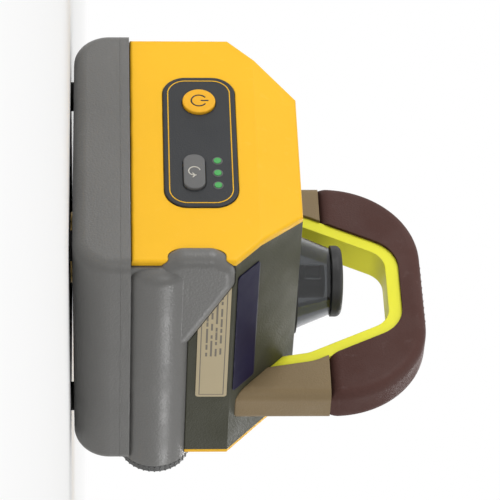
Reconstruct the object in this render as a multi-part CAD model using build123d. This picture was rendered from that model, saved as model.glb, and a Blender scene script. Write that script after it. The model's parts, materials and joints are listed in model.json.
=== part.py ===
from build123d import *
import os

os.makedirs("parts", exist_ok=True)

# Millimetres. The front looks towards -Y, the label side towards +X, +Z is up and the floor is Z = 0.
# The tripod thread stands on the Z axis, and the rotor axis stands behind it, under the handle.
axis_setback = 32

# Lower housing: a slab with a rounded keel and a battery barrel along each side.
foot_height = 2
foot_radius = 9
foot_offset_x = 62
foot_offset_y = 70
base_width = 194
base_depth = 184
base_height = 34
base_keel_round = 22
base_edge_round = 8
base_wall = 13
base_floor = 5
saddle_width = 32
saddle_setback = 3
saddle_sink = 2
barrel_inset = 19
barrel_height = 52
barrel_wall = 5.4
barrel_length_rear = 92
barrel_nose_round = 9

# Buttress at the front right corner, a rounded hump that slopes down onto the barrel.
buttress_front = -94
buttress_rear = -16
buttress_bottom = 52
buttress_lip_height = 64
buttress_brow_height = 84
buttress_top = 97
buttress_brow_setback = 8
buttress_crown_length = 16
buttress_tail_height = 70
buttress_sink = 5
buttress_width = 14
buttress_corner = 9
buttress_round = 6.5

# Charging socket in the rear cover, closed by a rubber plug.
jack_inset = 30
jack_rise = 7
jack_wall = 2.5
jack_radius = 4.5
jack_depth = 14
jack_head_radius = 6.5
jack_head_height = 2
jack_head_round = 1
jack_plug_depth = 5

# Body shell and covers.
body_inset = 5
body_depth = 180
shoulder_height = 97
deck_width = 98
deck_height = 138
shell_wall = 3.5
cover_thickness = 4
cover_edge_round = 2
lean_height = 112
lean_depth = 9
deck_hole_radius = 25
cover_boss_radius = 5
cover_boss_height = 18
cover_boss_offset = 40
cover_boss_overlap = 0.5

# Side plate and band.
plate_thickness = 0.8
plate_front = -82
plate_rear = 33
plate_bottom = 76
plate_top = 95
plate_corner = 2
band_width = 19
band_step = 2
band_front = -74
band_rear = 30

# Carrying handle.
handle_offset = 50
handle_height = 223
handle_inset = 4
handle_corner = 60
grip_depth = 26
grip_round = 7
grip_bottom = 160
frame_depth = 22
frame_thickness = 8.5
leg_width = 22
gap_half_width_top = 27
gap_half_width_waist = 53
gap_waist_drop = 52
grip_crown = 14.5
gap_corner = 16

# Lantern.
seal_radius = 33
seal_height = 3
glass_radius = 30
glass_taper = 9
glass_wall = 2.6
glass_height = 22
roof_overhang = 1.5
roof_height = 7
roof_round = 4

# Control panel on the front cover.
panel_width = 108
panel_height = 44
panel_corner = 14
panel_thickness = 2.2
panel_recess = 1.2
panel_offset_x = -4
panel_center_height = 78
panel_edge_round = 0.7
power_radius = 10
power_offset = -32
mode_width = 28
mode_height = 13
mode_offset = 27
mode_drop = 4
button_corner = 6
button_proud = 2
button_edge_round = 0.8
button_flange = 1.6
button_flange_thickness = 1.4
lamp_radius = 2.2
lamp_proud = 0.6
lamp_pitch = 10
lamp_count = 3
lamp_rise = 10
board_thickness = 1.6
keypad_width = 86
keypad_height = 34
keypad_boss_radius = 2.6
keypad_boss_length = 4.6
keypad_boss_inset = 3
dome_radius = 4
dome_height = 1.6

# Cells and battery caps.
cell_radius = 17.1
cell_length = 61.5
cells_per_barrel = 2
nub_radius = 4.8
nub_height = 1.8
contact_height = 8.2
contact_thickness = 0.6
contact_width = 8
cap_radius = 22
cap_thickness = 6
cap_plug_length = 8
cap_slot_width = 3
cap_slot_length = 26
cap_slot_depth = 2.5
cap_edge_round = 1.5
cap_seal_radius = 21.5
cap_seal_thickness = 0.8

# Tripod insert with a 5/8-11 thread, modelled at its minor diameter.
thread_radius = 6.75
insert_radius = 17
insert_length = 25
insert_flange_radius = 22
insert_boss_radius = 26

# Screws.
screw_head_radius = 4
screw_head_height = 4
screw_radius = 2
screw_hole_play = 0.3
screw_length = 42
screw_recess = 6
socket_radius = 1.6
socket_depth = 2
handle_screw_spacing = 12
handle_screw_grip = 7
plate_screw_length = 12

# Mechanism plate, posts and brackets.
mech_half_width = 54
mech_half_depth = 46
mech_plate_thickness = 4
mech_plate_clearance = 2
pillar_offset_x = 46
pillar_offset_y = 38
pillar_radius = 6
post_offset = 41
post_width = 7
post_depth = 16
post_crown = 8
bracket_offset = 30
bracket_thickness = 4
bracket_half_width = 24
bracket_crown = 6

# Gimbal and laser core.
gimbal_drop = 25
gimbal_outer_radius = 36
gimbal_inner_radius = 27
gimbal_thickness = 10
gimbal_pin_radius = 2.5
gimbal_pin_bite = 4
core_radius = 14
core_bore_radius = 9
core_sink = 15
core_clearance = 3
core_end_thickness = 3
diode_length = 14
lens_rise = 24
lens_thickness = 4
bearing_radius = 11
bearing_height = 6
bearing_gap = 5
tip_radius = 4
tip_reach = 5
motor_offset = 24.5
motor_radius = 8
motor_length = 11
motor_flange_thickness = 3
motor_flange_half_width = 10
motor_shaft_radius = 1.2
motor_shaft_sink = 4
vial_radius = 3
vial_length = 16
vial_rise = 22
cradle_height = 3
cradle_length = 14
cradle_depth = 9

# Rotor.
spindle_radius = 6
spindle_bore_radius = 4
spindle_sink = 1
pulley_bottom_gap = 2
pulley_height = 5.5
rotor_pulley_radius = 10
motor_pulley_radius = 5
belt_thickness = 0.8
belt_width = 4
rotor_radius = 10.5
rotor_clearance = 5
rotor_height = 16
rotor_floor = 3.5
rotor_roof = 3
rotor_edge_round = 1.2
prism_width = 11
prism_depth = 12
prism_setback = 5

# Levelling drive.
yoke_x_rise = 18
yoke_y_rise = 9
yoke_thickness = 4
yoke_half_length = 11
yoke_end_width = 9
yoke_end_height = 8
rod_offset = 18
rod_radius = 2
slot_travel = 6.5
slot_play = 0.5
level_motor_radius = 7
level_motor_length = 12

# Main board.
main_board_width = 88
main_board_bottom = 58
main_board_top = 118
main_boss_radius = 3.5
main_boss_length = 8
main_boss_inset = 6
chip_size = 14
chip_height = 2.5
chip_pitch = 26
chip_count = 3

# Fits.
part_gap = 0.3
running_fit = 0.05
cut_margin = 1

# Derived levels and positions.
base_top = foot_height + base_height
front_face = -body_depth / 2
rear_face = body_depth / 2
front_inner = front_face + cover_thickness
rear_inner = rear_face - cover_thickness
half_body = base_width / 2 - body_inset
half_deck = deck_width / 2
bore_radius = cell_radius + part_gap
barrel_radius = bore_radius + barrel_wall
barrel_offset = base_width / 2 - barrel_inset
barrel_front = front_inner + part_gap
bore_bottom = (barrel_length_rear - cap_plug_length - cells_per_barrel * cell_length
               - contact_height - 2 * part_gap)
buttress_outer = barrel_offset + barrel_radius - buttress_sink
buttress_inner = buttress_outer - buttress_width
jack_offset = half_body - jack_inset
jack_height = shoulder_height + jack_rise
half_handle = half_body - handle_inset
gap_half_width_bottom = half_handle - leg_width
gap_top = handle_height - grip_crown - frame_thickness
insert_top = foot_height + insert_length
mech_plate_height = insert_top + mech_plate_clearance
plate_top_level = mech_plate_height + mech_plate_thickness
yoke_x_height = plate_top_level + yoke_x_rise
yoke_y_height = plate_top_level + yoke_y_rise
core_bottom = yoke_x_height + yoke_end_height / 2 + core_clearance
core_top = deck_height - core_sink
gimbal_height = core_top - gimbal_drop
lens_height = core_bottom + lens_rise
vial_height = core_bottom + vial_rise
tip_bottom = yoke_y_height - tip_reach
rotor_bottom = deck_height + rotor_clearance
seat_length = 2 * bearing_height + bearing_gap
seat_bottom = core_top - seat_length
flange_bottom = core_top - motor_flange_thickness
pulley_bottom = core_top + pulley_bottom_gap
glass_bottom = deck_height + seal_height
glass_top = glass_bottom + glass_height
glass_top_radius = glass_radius - glass_taper
roof_radius = glass_top_radius + roof_overhang
roof_top = glass_top + roof_height
panel_front = front_face + panel_recess - panel_thickness
keypad_front = front_inner + keypad_boss_length
board_rear = rear_inner - main_boss_length
tolerance = 0.01


def face_of(points):
    return make_face(Polyline(*points, close=True))


def prism_along_y(face, y_from, y_to):
    return Pos(0, y_to, 0) * extrude(Plane.XZ * face, amount=y_to - y_from)


def prism_along_x(face, x_from, x_to):
    return Pos(x_from, 0, 0) * extrude(Plane.YZ * face, amount=x_to - x_from)


def block(x_from, x_to, y_from, y_to, z_from, z_to):
    center = Pos((x_from + x_to) / 2, (y_from + y_to) / 2, (z_from + z_to) / 2)
    return center * Box(x_to - x_from, y_to - y_from, z_to - z_from)


def rod_z(radius, x, y, z_from, z_to):
    return Pos(x, y, (z_from + z_to) / 2) * Cylinder(radius, z_to - z_from)


def rod_y(radius, x, z, y_from, y_to):
    return Pos(x, (y_from + y_to) / 2, z) * Rot(90, 0, 0) * Cylinder(radius, y_to - y_from)


def rod_x(radius, y, z, x_from, x_to):
    return Pos((x_from + x_to) / 2, y, z) * Rot(0, 90, 0) * Cylinder(radius, x_to - x_from)


def save(name, shape, label_count=None):
    solids = shape.solids()
    count = len(solids)
    if label_count and count != label_count:
        print(name, "has", count, "solids, expected", label_count)
    export_step(solids[0] if count == 1 else Compound(children=list(solids)), f"parts/{name}.step")


def corners(offset_x, offset_y):
    return [(sx * offset_x, sy * offset_y) for sx in (-1, 1) for sy in (-1, 1)]


# Shapes shared by the housing and the pieces that fit round it.
def barrel(side, grow=0.0):
    shape = rod_y(barrel_radius + grow, side * barrel_offset, barrel_height,
                  barrel_front - grow, barrel_length_rear)
    if grow:
        return shape
    nose = [e for e in shape.edges() if abs(e.center().Y - barrel_front) < tolerance]
    return fillet(nose, barrel_nose_round)


def saddle(side, grow=0.0):
    inner = side * (base_width / 2 - saddle_setback - saddle_width - grow)
    outer = side * (base_width / 2 - saddle_setback + grow)
    return block(min(inner, outer), max(inner, outer), barrel_front - grow,
                 rear_face + grow, base_top - saddle_sink, barrel_height + grow)


def buttress(grow=0.0):
    brow = buttress_front + buttress_brow_setback
    face = face_of([(buttress_front, buttress_lip_height), (buttress_front, buttress_brow_height),
                    (brow, buttress_top), (brow + buttress_crown_length, buttress_top),
                    (buttress_rear, buttress_tail_height), (buttress_rear, buttress_bottom),
                    (brow, buttress_bottom)])
    face = fillet(face.vertices(), buttress_corner)
    if grow:
        face = offset(face, amount=grow)
    shape = prism_along_x(face, buttress_inner - grow, buttress_outer + grow)
    rims = [e for e in shape.edges() if abs(e.center().X - buttress_inner + grow) < tolerance
            or abs(e.center().X - buttress_outer - grow) < tolerance]
    return fillet(rims, buttress_round + grow)


def body_outline(inset=0.0, bottom=base_top):
    half = half_body - inset
    crown = deck_height - inset
    slope = (deck_height - shoulder_height) / (half_body - half_deck)
    normal_drop = inset * (1 + slope ** 2) ** 0.5
    shoulder = shoulder_height - normal_drop + slope * inset
    top_half = half_deck - (normal_drop - inset) / slope
    return face_of([(-half, bottom), (-half, shoulder), (-top_half, crown),
                    (top_half, crown), (half, shoulder), (half, bottom)])


housing_forms = [barrel(1, part_gap), barrel(-1, part_gap), saddle(1, part_gap), saddle(-1, part_gap),
                 buttress(part_gap)]

# Lower housing.
keel = Pos(0, foot_height + base_height / 2) * Rectangle(base_width, base_height)
keel = fillet(keel.vertices().sort_by(Axis.Y)[:2], base_keel_round)
slab = prism_along_y(keel, -base_depth / 2, base_depth / 2)
ends = [e for e in slab.edges()
        if abs(abs(e.center().Y) - base_depth / 2) < tolerance and e.center().Z < base_top - tolerance]
slab = fillet(ends, base_edge_round)
cavity_x = base_width / 2 - base_wall
cavity_y = base_depth / 2 - base_wall
cavity_floor = foot_height + base_floor
lower_housing = slab - block(-cavity_x, cavity_x, -cavity_y, cavity_y, cavity_floor, base_top + cut_margin)
for side in (-1, 1):
    lower_housing += saddle(side) + barrel(side)
lower_housing += buttress()
for x, y in corners(pillar_offset_x, pillar_offset_y):
    pillar_y = axis_setback + y
    lower_housing += rod_z(pillar_radius, x, pillar_y, cavity_floor - cut_margin, mech_plate_height)
    lower_housing -= rod_z(screw_radius, x, pillar_y, plate_top_level - plate_screw_length, mech_plate_height)
lower_housing += rod_z(insert_boss_radius, 0, 0, cavity_floor - cut_margin, insert_top)
lower_housing -= rod_z(insert_radius, 0, 0, 0, insert_top)
for side in (-1, 1):
    lower_housing -= rod_y(bore_radius, side * barrel_offset, barrel_height,
                           bore_bottom, barrel_length_rear + cut_margin)
boss_y_front = front_inner + cover_boss_radius - cover_boss_overlap
boss_y_rear = rear_inner - cover_boss_radius + cover_boss_overlap
base_screw_spots = [(sx * cover_boss_offset, y) for sx in (-1, 1) for y in (boss_y_front, boss_y_rear)]
for x, y in base_screw_spots:
    lower_housing -= rod_z(screw_head_radius + screw_hole_play, x, y, 0, foot_height + screw_recess)
    lower_housing -= rod_z(screw_radius + screw_hole_play, x, y, 0, base_top + cut_margin)
save("lower_housing", lower_housing, 1)

# Feet, tripod insert and base screws.
feet = [rod_z(foot_radius, x, y, 0, foot_height) for x, y in corners(foot_offset_x, foot_offset_y)]
save("rubber_feet", Compound(children=feet), len(feet))
insert = rod_z(insert_flange_radius, 0, 0, 0, foot_height)
insert += rod_z(insert_radius, 0, 0, foot_height, insert_top)
insert -= rod_z(thread_radius, 0, 0, -cut_margin, insert_top + cut_margin)
save("tripod_insert", insert, 1)
screw_seat = foot_height + screw_recess
head_bottom = screw_seat - screw_head_height
base_screws = []
for x, y in base_screw_spots:
    screw = rod_z(screw_head_radius, x, y, head_bottom, screw_seat)
    screw += rod_z(screw_radius, x, y, screw_seat, screw_seat + screw_length)
    screw -= rod_z(socket_radius, x, y, head_bottom, head_bottom + socket_depth)
    base_screws.append(screw)
save("base_screws", Compound(children=base_screws), len(base_screws))

# Dark body shell: side walls, sloping shoulders and deck, open at the front, the rear and below.
shell_side = face_of([(front_inner, base_top), (front_inner, lean_height),
                      (front_inner + lean_depth, deck_height), (rear_inner, deck_height),
                      (rear_inner, base_top)])
body_shell = prism_along_y(body_outline(), front_inner, rear_inner)
body_shell = body_shell & prism_along_x(shell_side, -half_body, half_body)
body_shell -= prism_along_y(body_outline(shell_wall, base_top - cut_margin), front_inner - cut_margin,
                            rear_inner + cut_margin)
for form in housing_forms:
    body_shell -= form
body_shell -= rod_z(deck_hole_radius, 0, axis_setback, shoulder_height, deck_height + cut_margin)
shoulder_slope = (deck_height - shoulder_height) / (half_body - half_deck)
slope_length = (1 + shoulder_slope ** 2) ** 0.5


def shoulder_plane(side, x, y):
    z = deck_height - (x - half_deck) * shoulder_slope
    normal = (side * shoulder_slope, 0, 1)
    return Plane(origin=(side * x, y, z), x_dir=(0, 1, 0), z_dir=normal)


leg_x = (gap_half_width_bottom + half_handle) / 2
handle_screw_planes = [shoulder_plane(side, leg_x, handle_offset + dy * handle_screw_spacing / 2)
                       for side in (-1, 1) for dy in (-1, 1)]


def drilled(plane, radius, low, high):
    return plane * Pos(0, 0, (low + high) / 2) * Cylinder(radius, high - low)


for plane in handle_screw_planes:
    body_shell -= drilled(plane, screw_radius + screw_hole_play, -shell_wall - cut_margin, cut_margin)
save("body_shell", body_shell, 1)

# Yellow covers. The front one leans back at its top and carries the control panel.
def cover_profile(sign, lean):
    outer = sign * body_depth / 2
    inner = outer - sign * cover_thickness
    low = base_top + part_gap
    return face_of([(outer, low), (outer, lean_height), (outer - sign * lean, deck_height),
                    (inner - sign * lean, deck_height), (inner, lean_height), (inner, low)])


def on_outside(point, sign, lean):
    rise = max(0, point.Z - lean_height) / (deck_height - lean_height)
    return abs(point.Y - sign * (body_depth / 2 - lean * rise)) < tolerance


def cover(sign, lean):
    plate = prism_along_x(cover_profile(sign, lean), -half_body, half_body)
    plate = plate & prism_along_y(body_outline(), front_face, rear_face)
    rims = [e for e in plate.edges() if on_outside(e.center(), sign, lean)
            and abs(e.center().Z - lean_height) > tolerance]
    plate = fillet(rims, cover_edge_round)
    y = boss_y_front if sign < 0 else boss_y_rear
    for sx in (-1, 1):
        plate += rod_z(cover_boss_radius, sx * cover_boss_offset, y, base_top + part_gap,
                       base_top + part_gap + cover_boss_height)
        plate -= rod_z(screw_radius, sx * cover_boss_offset, y, base_top, screw_seat + screw_length)
    for form in housing_forms:
        plate -= form
    return plate


def panel_spot(x, z):
    return (panel_offset_x + x, panel_center_height + z)


def rounded_bar(width, height, corner, x, z, y_from, y_to):
    return prism_along_y(Pos(x, z) * RectangleRounded(width, height, corner), y_from, y_to)


power_x, power_z = panel_spot(power_offset, 0)
mode_x, mode_z = panel_spot(mode_offset, -mode_drop)
lamp_spots = [panel_spot(mode_offset + (i - (lamp_count - 1) / 2) * lamp_pitch, lamp_rise)
              for i in range(lamp_count)]
keypad_bosses = [panel_spot(x, z) for x, z in corners(keypad_width / 2 - keypad_boss_inset,
                                                      keypad_height / 2 - keypad_boss_inset)]


def power_bar(grow, y_from, y_to):
    return rod_y(power_radius + grow, power_x, power_z, y_from, y_to)


def mode_bar(grow, y_from, y_to):
    return rounded_bar(mode_width + 2 * grow, mode_height + 2 * grow, button_corner + grow,
                       mode_x, mode_z, y_from, y_to)


panel_floor = front_face + panel_recess
front_cover = cover(-1, lean_depth)
front_cover -= rounded_bar(panel_width + 2 * part_gap, panel_height + 2 * part_gap, panel_corner + part_gap,
                           panel_offset_x, panel_center_height, front_face - cut_margin, panel_floor)
for bar in (power_bar, mode_bar):
    front_cover -= bar(part_gap, front_face - cut_margin, front_inner + cut_margin)
for x, z in lamp_spots:
    front_cover -= rod_y(lamp_radius, x, z, front_face - cut_margin, front_inner + cut_margin)
for x, z in keypad_bosses:
    front_cover += rod_y(keypad_boss_radius, x, z, front_inner - cover_thickness / 2, keypad_front)
save("front_cover", front_cover, 1)

rear_cover = cover(1, 0)
main_boss_heights = (main_board_bottom + main_boss_inset, main_board_top - main_boss_inset)
main_board_spots = [(side * (main_board_width / 2 - main_boss_inset), z)
                    for side in (-1, 1) for z in main_boss_heights]
for x, z in main_board_spots:
    rear_cover += rod_y(main_boss_radius, x, z, board_rear, rear_inner + cover_thickness / 2)
jack_floor = rear_face - jack_depth
rear_cover += rod_y(jack_radius + jack_wall, jack_offset, jack_height, jack_floor - jack_wall,
                    rear_inner + cover_thickness / 2)
rear_cover -= rod_y(jack_radius, jack_offset, jack_height, jack_floor, rear_face + cut_margin)
save("rear_cover", rear_cover, 1)

# Charging socket at the bottom of its hole and the rubber plug that closes it.
jack_socket = rod_y(jack_radius, jack_offset, jack_height, jack_floor, rear_face - jack_plug_depth - part_gap)
save("jack_socket", jack_socket, 1)
jack_face = rear_face + jack_head_height
jack_plug = rod_y(jack_radius, jack_offset, jack_height, rear_face - jack_plug_depth, rear_face)
jack_plug += rod_y(jack_head_radius, jack_offset, jack_height, rear_face, jack_face)
rim = [e for e in jack_plug.edges() if abs(e.center().Y - jack_face) < tolerance]
save("jack_plug", fillet(rim, jack_head_round), 1)

# Control panel, its two buttons and lamps.
panel = rounded_bar(panel_width, panel_height, panel_corner, panel_offset_x, panel_center_height,
                    panel_front, panel_floor)
panel = fillet([e for e in panel.edges() if abs(e.center().Y - panel_front) < tolerance], panel_edge_round)
for bar in (power_bar, mode_bar):
    panel -= bar(part_gap, panel_front - cut_margin, panel_floor + cut_margin)
for x, z in lamp_spots:
    panel -= rod_y(lamp_radius, x, z, panel_front - cut_margin, panel_floor + cut_margin)
save("control_panel", panel, 1)
button_front = panel_front - button_proud
flange_front = front_inner + part_gap
flange_rear = flange_front + button_flange_thickness
for name, bar in (("power_button", power_bar), ("mode_button", mode_bar)):
    button = bar(0, button_front, flange_rear)
    crown = [e for e in button.edges() if abs(e.center().Y - button_front) < tolerance]
    button = fillet(crown, button_edge_round)
    save(name, button + bar(button_flange, flange_front, flange_rear), 1)
lamps = [rod_y(lamp_radius, x, z, panel_front - lamp_proud, keypad_front) for x, z in lamp_spots]
save("status_lamps", Compound(children=lamps), len(lamps))
keypad = block(panel_offset_x - keypad_width / 2, panel_offset_x + keypad_width / 2, keypad_front,
               keypad_front + board_thickness, panel_center_height - keypad_height / 2,
               panel_center_height + keypad_height / 2)
save("keypad_board", keypad, 1)
domes = [rod_y(dome_radius, x, z, keypad_front - dome_height, keypad_front)
         for x, z in ((power_x, power_z), (mode_x, mode_z))]
save("keypad_domes", Compound(children=domes), len(domes))

# Side plate on the right wall and the band on the right shoulder above it.
plate_face = Pos((plate_front + plate_rear) / 2, (plate_bottom + plate_top) / 2) * RectangleRounded(
    plate_rear - plate_front, plate_top - plate_bottom, plate_corner)
side_plate = prism_along_x(plate_face, half_body, half_body + plate_thickness) - buttress(part_gap)
save("side_plate", side_plate, 1)
band_x = half_body - (band_width / 2 + band_step) / slope_length
band_face = RectangleRounded(band_rear - band_front, band_width, plate_corner)
band_plane = shoulder_plane(1, band_x, (band_front + band_rear) / 2)
side_band = extrude(band_plane * band_face, amount=plate_thickness) - buttress(part_gap)
save("side_band", side_band, 1)

# Carrying handle: an arch over the rear of the deck.
arch_low = shoulder_height - cover_thickness
arch = Pos(0, (handle_height + arch_low) / 2) * Rectangle(2 * half_handle, handle_height - arch_low)
arch = fillet(arch.vertices().sort_by(Axis.Y)[-2:], handle_corner)
gap_low = arch_low - frame_thickness * 2
gap_waist = gap_top - gap_waist_drop
gap = face_of([(-gap_half_width_bottom, gap_low), (-gap_half_width_waist, gap_waist),
               (-gap_half_width_top, gap_top), (gap_half_width_top, gap_top),
               (gap_half_width_waist, gap_waist), (gap_half_width_bottom, gap_low)])
gap_bends = gap.vertices().sort_by(Axis.Y)[-4:]
gap = fillet(gap_bends, gap_corner)
liner = offset(gap, amount=frame_thickness)
body_core = prism_along_y(body_outline(0, 0), front_face, rear_face)


def handle_slice(face, depth):
    return prism_along_y(face, handle_offset - depth / 2, handle_offset + depth / 2) - body_core


def handle_rims(shape, depth):
    return [e for e in shape.edges() if abs(abs(e.center().Y - handle_offset) - depth / 2) < tolerance]


def on_arch(edge):
    reach = max(abs(v.X) for v in edge.vertices())
    return reach > half_handle - tolerance or abs(edge.center().Z - handle_height) < tolerance


above_feet = Pos(0, grip_bottom + handle_height / 2) * Rectangle(4 * half_handle, handle_height)
grip = handle_slice((arch - liner) & above_feet, grip_depth)
outside = [e for e in handle_rims(grip, grip_depth) if on_arch(e)]
save("handle_grip", fillet(outside, grip_round), 1)
frame_face = (liner - gap) & arch
frame = handle_slice(frame_face, frame_depth)
feet_pieces = handle_slice((arch - liner) - above_feet, grip_depth)
feet_outside = [e for e in feet_pieces.edges() if abs(abs(e.center().X) - half_handle) < tolerance
                and abs(abs(e.center().Y - handle_offset) - grip_depth / 2) < tolerance]
feet_pieces = fillet(feet_outside, grip_round)
frame_screws = []
for plane in handle_screw_planes:
    feet_pieces -= drilled(plane, screw_radius, -cut_margin, handle_screw_grip)
    head = drilled(plane, screw_head_radius, -shell_wall - screw_head_height, -shell_wall)
    shank = drilled(plane, screw_radius, -shell_wall, handle_screw_grip)
    frame_screws.append(head + shank)
save("handle_frame", frame, 1)
save("handle_feet", feet_pieces, 2)
save("handle_screws", Compound(children=frame_screws), len(frame_screws))

# Lantern: seal, tapered window and roof.
seal = rod_z(seal_radius, 0, axis_setback, deck_height, glass_bottom)
seal -= rod_z(deck_hole_radius, 0, axis_setback, deck_height - cut_margin, glass_bottom + cut_margin)
save("lantern_seal", seal, 1)


def window_cone(inset):
    middle = Pos(0, axis_setback, (glass_bottom + glass_top) / 2)
    return middle * Cone(glass_radius - inset, glass_top_radius - inset, glass_height)


save("lantern_window", window_cone(0) - window_cone(glass_wall), 1)
roof = rod_z(roof_radius, 0, axis_setback, glass_top, roof_top)
roof = fillet([e for e in roof.edges() if abs(e.center().Z - roof_top) < tolerance], roof_round)
save("lantern_roof", roof, 1)

# Cells, contacts, caps and seals.
cells = []
contacts = []
cap_seals = []
for side in (-1, 1):
    axis_x = side * barrel_offset
    for i in range(cells_per_barrel):
        rear = barrel_length_rear - cap_plug_length - part_gap - i * cell_length
        cell = rod_y(cell_radius, axis_x, barrel_height, rear - cell_length, rear - nub_height)
        cells.append(cell + rod_y(nub_radius, axis_x, barrel_height, rear - nub_height, rear))
    bow_outer = Pos(axis_x, bore_bottom) * Circle(contact_height)
    bow_inner = Pos(axis_x, bore_bottom) * Circle(contact_height - contact_thickness)
    half_plane = Pos(axis_x, bore_bottom + contact_height) * Rectangle(2 * contact_height, 2 * contact_height)
    bow = extrude((bow_outer - bow_inner) & half_plane, amount=contact_width)
    contacts.append(Pos(0, 0, barrel_height - contact_width / 2) * bow)
    seal_ring = rod_y(cap_seal_radius, axis_x, barrel_height, barrel_length_rear,
                      barrel_length_rear + cap_seal_thickness)
    seal_ring -= rod_y(bore_radius + part_gap, axis_x, barrel_height, barrel_length_rear - cut_margin,
                       barrel_length_rear + cap_seal_thickness + cut_margin)
    cap_seals.append(seal_ring)
    cap_front = barrel_length_rear + cap_seal_thickness + part_gap
    cap_rear = cap_front + cap_thickness
    cap = rod_y(cap_radius, axis_x, barrel_height, cap_front, cap_rear)
    cap = fillet([e for e in cap.edges() if abs(e.center().Y - cap_rear) < tolerance], cap_edge_round)
    cap += rod_y(bore_radius - running_fit, axis_x, barrel_height,
                 barrel_length_rear - cap_plug_length, cap_front)
    cap -= Pos(axis_x, cap_rear, barrel_height) * Box(cap_slot_length, 2 * cap_slot_depth, cap_slot_width)
    save("battery_cap_right" if side > 0 else "battery_cap_left", cap, 1)
save("battery_cells", Compound(children=cells), len(cells))
save("cell_contacts", Compound(children=contacts), len(contacts))
save("cap_seals", Compound(children=cap_seals), len(cap_seals))


# The mechanism is drawn about the Z axis and saved at the rotor axis.
def save_on_axis(name, shape, count):
    save(name, Pos(0, axis_setback, 0) * shape, count)


# Mechanism plate with gimbal posts and drive brackets.
mech = block(-mech_half_width, mech_half_width, -mech_half_depth, mech_half_depth,
             mech_plate_height, plate_top_level)
post_top = gimbal_height + post_crown
for side in (-1, 1):
    x = side * post_offset
    mech += block(x - post_width / 2, x + post_width / 2, -post_depth / 2, post_depth / 2,
                  mech_plate_height, post_top)
    b = side * bracket_offset
    near = b - bracket_thickness / 2
    far = b + bracket_thickness / 2
    mech += block(near, far, -bracket_half_width, bracket_half_width,
                  mech_plate_height, yoke_x_height + bracket_crown)
    mech += block(-bracket_half_width, bracket_half_width, near, far,
                  mech_plate_height, yoke_y_height + bracket_crown)
pin_inner = gimbal_outer_radius - gimbal_pin_bite
pin_outer = post_offset + post_width / 2
outer_pins = [rod_x(gimbal_pin_radius, 0, gimbal_height, min(s * pin_inner, s * pin_outer),
                    max(s * pin_inner, s * pin_outer)) for s in (-1, 1)]
for pin in outer_pins:
    mech -= pin
bracket_out = bracket_offset + bracket_thickness / 2
bracket_past = bracket_out + cut_margin
for sign, radius in ((1, rod_radius), (-1, rod_radius + running_fit)):
    mech -= rod_x(radius, sign * rod_offset, yoke_x_height, -bracket_past, bracket_past)
    mech -= rod_y(radius, sign * rod_offset, yoke_y_height, -bracket_past, bracket_past)
plate_screws = []
for x, y in corners(pillar_offset_x, pillar_offset_y):
    mech -= rod_z(screw_radius + screw_hole_play, x, y,
                  mech_plate_height - cut_margin, plate_top_level + cut_margin)
    screw = rod_z(screw_head_radius, x, y, plate_top_level, plate_top_level + screw_head_height)
    screw += rod_z(screw_radius, x, y, plate_top_level - plate_screw_length, plate_top_level)
    screw -= rod_z(socket_radius, x, y, plate_top_level + screw_head_height - socket_depth,
                   plate_top_level + screw_head_height)
    plate_screws.append(screw)
save_on_axis("mechanism_plate", mech, 1)
save_on_axis("plate_screws", Compound(children=plate_screws), len(plate_screws))
save_on_axis("gimbal_post_pins", Compound(children=outer_pins), len(outer_pins))

# Gimbal ring on the post pins, with its own pins for the laser core.
ring_low = gimbal_height - gimbal_thickness / 2
ring_high = gimbal_height + gimbal_thickness / 2
ring = rod_z(gimbal_outer_radius, 0, 0, ring_low, ring_high)
ring -= rod_z(gimbal_inner_radius, 0, 0, ring_low - cut_margin, ring_high + cut_margin)
core_pin_inner = core_radius - gimbal_pin_bite
core_pins = []
for side in (-1, 1):
    far = side * gimbal_outer_radius * 2
    near = side * (pin_inner - part_gap)
    ring -= rod_x(gimbal_pin_radius + running_fit, 0, gimbal_height, min(near, far), max(near, far))
    low, high = sorted((side * core_pin_inner, side * (gimbal_outer_radius - cut_margin)))
    pin = rod_y(gimbal_pin_radius, 0, gimbal_height, low, high)
    core_pins.append(pin)
    ring -= pin
save_on_axis("gimbal_ring", ring, 1)
save_on_axis("gimbal_core_pins", Compound(children=core_pins), len(core_pins))

# Laser core: tube, end tip, motor flange and vial cradles.
core = rod_z(core_radius, 0, 0, core_bottom, core_top)
core += rod_z(tip_radius, 0, 0, tip_bottom, core_bottom)
core += block(-motor_flange_half_width, motor_flange_half_width, 0,
              motor_offset + motor_radius, flange_bottom, core_top)
vial_offset = core_radius + vial_radius
cradle_top = vial_height - vial_radius
cradle_out = vial_offset + cradle_depth - vial_radius * 2
core += block(-cradle_length / 2, cradle_length / 2, -cradle_out, 0, cradle_top - cradle_height, cradle_top)
core += block(0, cradle_out, -cradle_length / 2, cradle_length / 2, cradle_top - cradle_height, cradle_top)
core -= rod_z(core_bore_radius, 0, 0, core_bottom + core_end_thickness, core_top + cut_margin)
core -= rod_z(bearing_radius, 0, 0, seat_bottom, core_top + cut_margin)
core -= rod_y(gimbal_pin_radius + running_fit, 0, gimbal_height,
              -core_radius - cut_margin, core_radius + cut_margin)
core -= rod_z(motor_shaft_radius + running_fit, 0, motor_offset,
              flange_bottom - cut_margin, core_top + cut_margin)
save_on_axis("laser_core", core, 1)
vials = [rod_x(vial_radius, -vial_offset, vial_height, -vial_length / 2, vial_length / 2),
         rod_y(vial_radius, vial_offset, vial_height, -vial_length / 2, vial_length / 2)]
save_on_axis("level_vials", Compound(children=vials), len(vials))
diode_bottom = core_bottom + core_end_thickness
save_on_axis("laser_diode", rod_z(core_bore_radius, 0, 0, diode_bottom, diode_bottom + diode_length), 1)
save_on_axis("collimating_lens", rod_z(core_bore_radius, 0, 0, lens_height, lens_height + lens_thickness), 1)
bearings = []
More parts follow.
